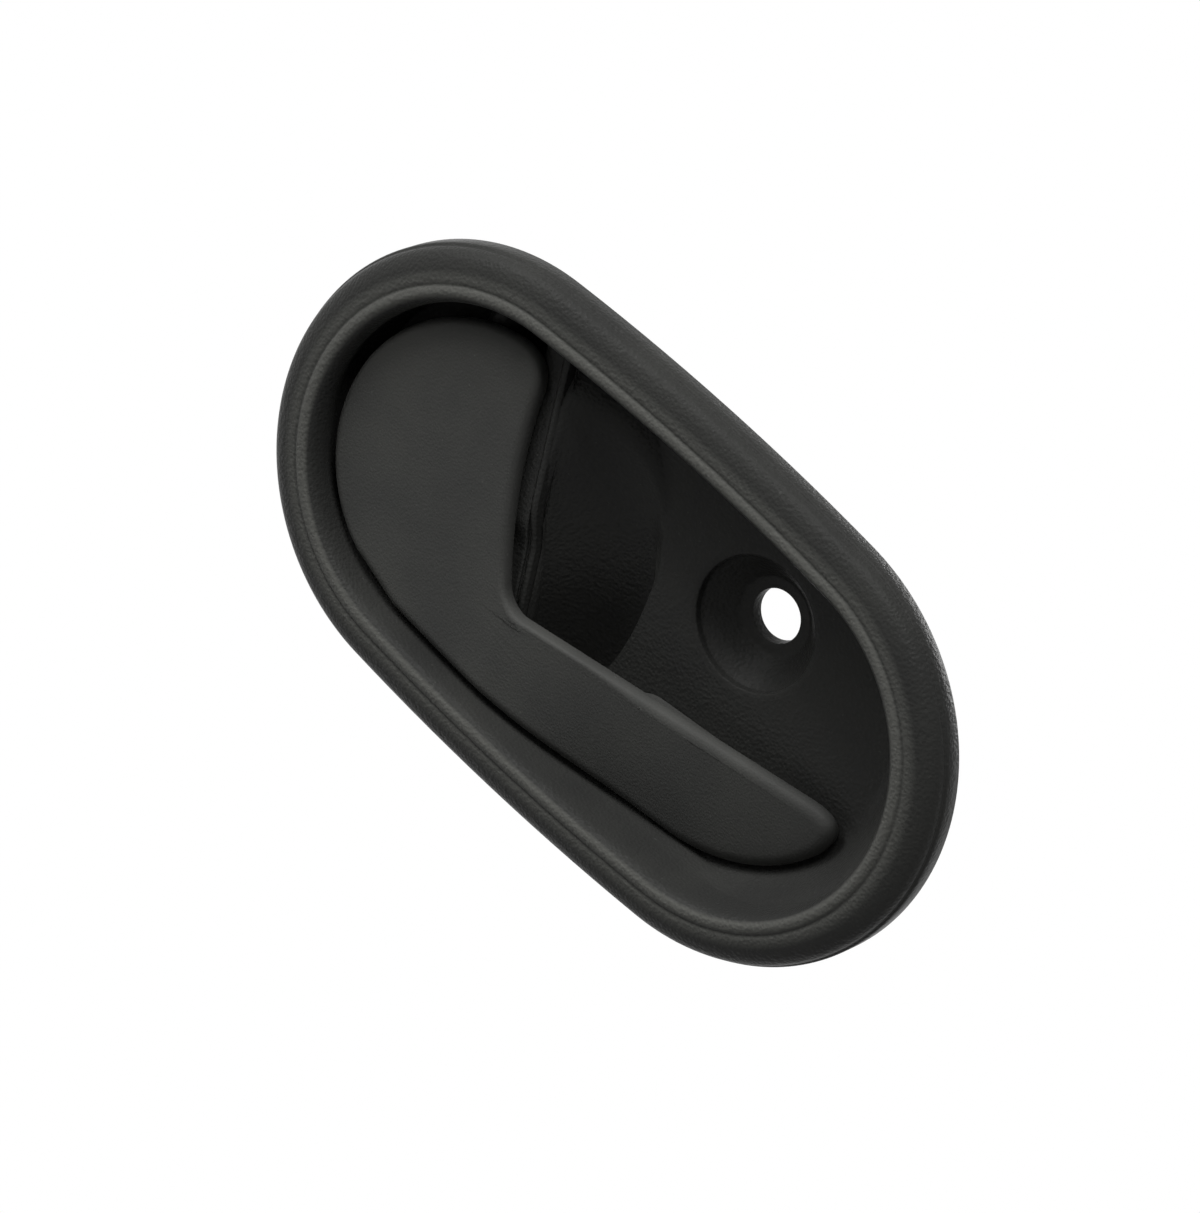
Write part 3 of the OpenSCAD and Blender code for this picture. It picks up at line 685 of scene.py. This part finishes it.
# 1 where the side of the tail reaches down to the floor of the cup, 0 elsewhere
SKIRT = evened([1.0 if kind == "ridge" and 8.0 < point.x < 39.0 else 0.0 for kind, point in zip(kinds, shape)], 8)


def edge_point(i, turn):
    """A point on the rounded edge, from the side wall (turn 0) to the face (turn 1)."""
    t = turn * math.pi / 2
    spot = shape[i] + INWARD[i] * rounding[i] * (1 - math.cos(t))
    h = lever_height(spot.x, spot.y)
    drop = min(rounding[i], 1.3, h - lever_back(spot) - 0.3)
    return Vector((spot.x, spot.y, h - drop * (1 - math.sin(t))))


def lever_back(spot):
    """Height of the lever's back, which stays clear of the buffer under the tail."""
    even = FACE_H - max(0.0, spot.x - TAIL_START) * TAIL_SLOPE - THICK
    return max(min(even, lever_height(spot.x, spot.y) - 1.6), FLOOR_H + 0.25)


def face_point(i, share, back=False):
    """A point of the face or the back, a share of the way from the rounding to the lever's middle."""
    start_at = shape[i] + INWARD[i] * (4.0 if back else rounding[i])
    spot = start_at.lerp(HEART, share)
    return Vector((spot.x, spot.y, lever_back(spot) if back else lever_height(spot.x, spot.y)))


def skirt_point(i, inset):
    """A point of the skirt's foot, or of the back where there is no skirt."""
    spot = shape[i] + INWARD[i] * inset
    back = lever_back(spot)
    return Vector((spot.x, spot.y, back + (min(back, FLOOR_H + 0.3) - back) * SKIRT[i]))


def back_point(i, inset, above):
    """A point an inset in from the outline, so far above the back."""
    spot = shape[i] + INWARD[i] * inset
    return Vector((spot.x, spot.y, lever_back(spot) + above))


shares = [0.03, 0.08, 0.14, 0.2, 0.27, 0.34, 0.42, 0.5, 0.58, 0.66, 0.74, 0.82, 0.9, 0.96]
count = range(len(shape))
loops = [[face_point(i, s, True) for i in count] for s in (0.9, 0.7, 0.5, 0.3, 0.15, 0.05, 0.0)]
loops += [[skirt_point(i, inset) for i in count] for inset in (3.6, 3.4, 1.8)]
loops += [[back_point(i, inset, 0.0) for i in count] for inset in (1.6, 0.3)]
loops += [[back_point(i, 0.0, 0.25) for i in count]]
loops += [[edge_point(i, t) for i in count] for t in (0.0, 0.17, 0.34, 0.5, 0.67, 0.84, 1.0)]
loops += [[face_point(i, s) for i in count] for s in shares]


def grow_through(mesh_data, rings):
    """Extrudes a closed loop of edges through the following loops of points and fills both ends."""
    made = chain(mesh_data, rings[0], True)
    verts = made[:len(rings[0])]
    edges = made[len(rings[0]):]
    bmesh.ops.contextual_create(mesh_data, geom=edges)
    for ring in rings[1:]:
        grown = bmesh.ops.extrude_edge_only(mesh_data, edges=edges)["geom"]
        fresh = {g for g in grown if isinstance(g, bmesh.types.BMVert)}
        edges = [g for g in grown if isinstance(g, bmesh.types.BMEdge) and g.verts[0] in fresh and g.verts[1] in fresh]
        verts = [next(e.other_vert(v) for e in v.link_edges if e.other_vert(v) in fresh) for v in verts]
        for vert, spot in zip(verts, ring):
            vert.co = spot
    bmesh.ops.contextual_create(mesh_data, geom=edges)


lever_mesh = bmesh.new()
grow_through(lever_mesh, loops)
make_piece("lever_shell", lever_mesh, lever_plastic, "lever", "lever", 60.0)

# lugs round the pin, and the rear arm with the eye for the rod clip
ARM_Z, ARM_THICK, ARM_LENGTH, CLIP_R = -9.0, 3.0, 19.0, 2.5
LUG_REACH = 14.9
lug_mesh = bmesh.new()
lug_bore = PIN_R + 0.05
for side in (-1, 1):
    middle = PLATE.y + side * LUG_REACH
    spun(lug_mesh, (PIVOT.x, middle - 1.7, PIVOT.y),
         [(lug_bore, 0.0), (2.2, 0.0), (2.4, 0.2), (2.4, 3.2), (2.2, 3.4), (lug_bore, 3.4), (lug_bore, 0.0)],
         40, axis=(0, 1, 0))
    block(lug_mesh, (PIVOT.x - 2.4, middle - 1.65, PIVOT.y + 1.5), (PIVOT.x + 2.4, middle + 1.65, FACE_H - 1.2), 0.15)
eye, eye_bore = PIVOT.y - ARM_LENGTH, CLIP_R + 0.05
spun(lug_mesh, (PIVOT.x, ARM_Z - ARM_THICK / 2, eye),
     [(eye_bore, 0.0), (4.2, 0.0), (4.5, 0.3), (4.5, 2.7), (4.2, 3.0), (eye_bore, 3.0), (eye_bore, 0.0)],
     48, axis=(0, 1, 0))
block(lug_mesh, (PIVOT.x - 2.6, ARM_Z - 1.48, eye + 3.4), (PIVOT.x + 2.6, ARM_Z + 1.48, PIVOT.y - 1.6), 0.3)
make_piece("lever_arm", lug_mesh, lever_plastic, "lever", "lever")

# ---------------------------------------------------------------- spring, pin, buffers and rod clip
WIRE = 0.4
COIL_R = PIN_R + 0.3 + WIRE
COIL_PITCH = 0.776
LEG = [(0.0, 0.0), (WIRE, 0.0), (WIRE, 9.5), (0.0, 9.5)]
coil_low = ARM_Z + ARM_THICK / 2 + 0.6
coil_mesh = bmesh.new()
section = [Vector((PIVOT.x + COIL_R + WIRE * math.cos(t), coil_low + WIRE * math.sin(t), PIVOT.y))
           for t in [2 * math.pi * i / 12 for i in range(12)]]
turns, steps = 7, 36
bmesh.ops.spin(coil_mesh, geom=chain(coil_mesh, section, True), cent=(PIVOT.x, coil_low, PIVOT.y), axis=(0, 1, 0),
               dvec=(0, COIL_PITCH / steps, 0), angle=2 * math.pi * turns, steps=turns * steps, use_duplicate=False)
bmesh.ops.holes_fill(coil_mesh, edges=[e for e in coil_mesh.edges if e.is_boundary], sides=0)
spun(coil_mesh, (PIVOT.x, coil_low, PIVOT.y - COIL_R), LEG, 16, axis=(-1, 0, 0), across=(0, 1, 0))
make_piece("spring_coil", coil_mesh, wire_steel, "housing", "return_spring", 50.0)
leg_mesh = bmesh.new()
spun(leg_mesh, (PIVOT.x, coil_low + turns * COIL_PITCH, PIVOT.y + COIL_R), LEG, 16, axis=(-1, 0, 0), across=(0, 1, 0))
make_piece("spring_leg", leg_mesh, wire_steel, "lever", "return_spring", 50.0)

for node, finish in (("hinge_pin", plated), ("pin_retainer", plated), ("rest_buffer", rubber), ("stop_buffer", rubber),
                     ("rod_clip", clip_plastic)):
    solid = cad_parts[node]
    for material_slot in solid.material_slots:
        material_slot.material = finish

# ---------------------------------------------------------------- floor, light and camera
def rays_shown_white(tree):
    """1 for the rays that see the surroundings, straight or in a gloss, and 0 for the rays that light the part."""
    path = tree.nodes.new("ShaderNodeLightPath")
    shown = [Value(tree, path.outputs[kind]) for kind in ("Is Camera Ray", "Is Glossy Ray", "Is Transmission Ray")]
    return (shown[0] + shown[1] + shown[2]).clamped()


stage_mesh = bmesh.new()
bmesh.ops.create_grid(stage_mesh, x_segments=2, y_segments=2, size=3.0)
stage_floor_mesh = bpy.data.meshes.new("studio_floor")
stage_mesh.to_mesh(stage_floor_mesh)
stage_mesh.free()
studio_floor = bpy.data.objects.new("studio_floor", stage_floor_mesh)
studio_floor.location = (0, 0, -0.2)
bpy.context.collection.objects.link(studio_floor)
paper = Finish("studio_paper")
seen = rays_shown_white(paper.tree)
paper.feed(Base_Color=(0.06, 0.06, 0.06, 1.0), Roughness=0.9)
white = paper.tree.nodes.new("ShaderNodeEmission")
white.inputs["Color"].default_value = (1, 1, 1, 1)
white.inputs["Strength"].default_value = 1.0
blend_node = paper.tree.nodes.new("ShaderNodeMixShader")
paper.tree.links.new(seen.socket, blend_node.inputs[0])
paper.tree.links.new(paper.shader.outputs[0], blend_node.inputs[1])
paper.tree.links.new(white.outputs[0], blend_node.inputs[2])
paper.tree.links.new(blend_node.outputs[0], paper.tree.nodes["Material Output"].inputs["Surface"])
stage_floor_mesh.materials.append(paper.material)

# the camera as it was fitted to the ring: its angles, its distance in metres, how many pixels a millimetre takes up
# at that distance, the photograph's height in pixels, and by how many pixels its middle is off
AZIMUTH, ELEVATION, ROLL = math.radians(22.372), math.radians(30.988), math.radians(30.564)
DISTANCE = 0.9
PIXELS_PER_MM = 7.504
PHOTO_HEIGHT = 1213
OFF_MIDDLE = (-16.18, -7.28)
SENSOR = 36.0
level_share = math.cos(ELEVATION)
look = Vector((-math.sin(AZIMUTH) * level_share, math.cos(AZIMUTH) * level_share, -math.sin(ELEVATION)))
level = Vector((math.cos(AZIMUTH), math.sin(AZIMUTH), 0))
rise = level.cross(look)
right = level * math.cos(ROLL) + rise * math.sin(ROLL)
up = rise * math.cos(ROLL) - level * math.sin(ROLL)
camera = bpy.data.objects.new("camera", bpy.data.cameras.new("camera"))
bpy.context.collection.objects.link(camera)
camera.matrix_world = Matrix.Translation(-look * DISTANCE) @ Matrix((
    (right.x, up.x, -look.x, 0), (right.y, up.y, -look.y, 0), (right.z, up.z, -look.z, 0), (0, 0, 0, 1)))
camera.data.sensor_fit = "VERTICAL"
camera.data.sensor_height = SENSOR
camera.data.lens = SENSOR * PIXELS_PER_MM * (1000 * DISTANCE) / PHOTO_HEIGHT
camera.data.shift_x = OFF_MIDDLE[0] / PHOTO_HEIGHT
camera.data.shift_y = OFF_MIDDLE[1] / PHOTO_HEIGHT
camera.data.clip_start = 0.01
bpy.context.scene.camera = camera

# soft square lamps that face the handle: place in metres and power in watts
LAMP_SIZE = 0.5
LAMPS = {"above": ((0.0, -0.445, 1.222), 7.0), "above_left": ((-0.864, -0.445, 0.864), 7.0),
         "left": ((-0.683, -0.870, 0.683), 1.2), "below": ((0.0, -0.445, -1.222), 3.1),
         "behind": ((0.0, 1.3, 0.0), 6.0)}
for name, (spot, power) in LAMPS.items():
    light = bpy.data.lights.new(name, "AREA")
    light.shape = "RECTANGLE"
    light.size, light.size_y = LAMP_SIZE, LAMP_SIZE
    light.energy = power
    made = bpy.data.objects.new(name, light)
    bpy.context.collection.objects.link(made)
    made.location = spot
    made.rotation_euler = (-Vector(spot)).to_track_quat("-Z", "Y").to_euler()

world = bpy.data.worlds.new("studio")
bpy.context.scene.world = world
world.use_nodes = True
sky = world.node_tree
backdrop = sky.nodes["Background"]
backdrop.inputs["Color"].default_value = (1, 1, 1, 1)
strength = rays_shown_white(sky) * 0.98 + 0.02
sky.links.new(strength.socket, backdrop.inputs["Strength"])
bpy.context.scene.view_settings.view_transform = "Standard"
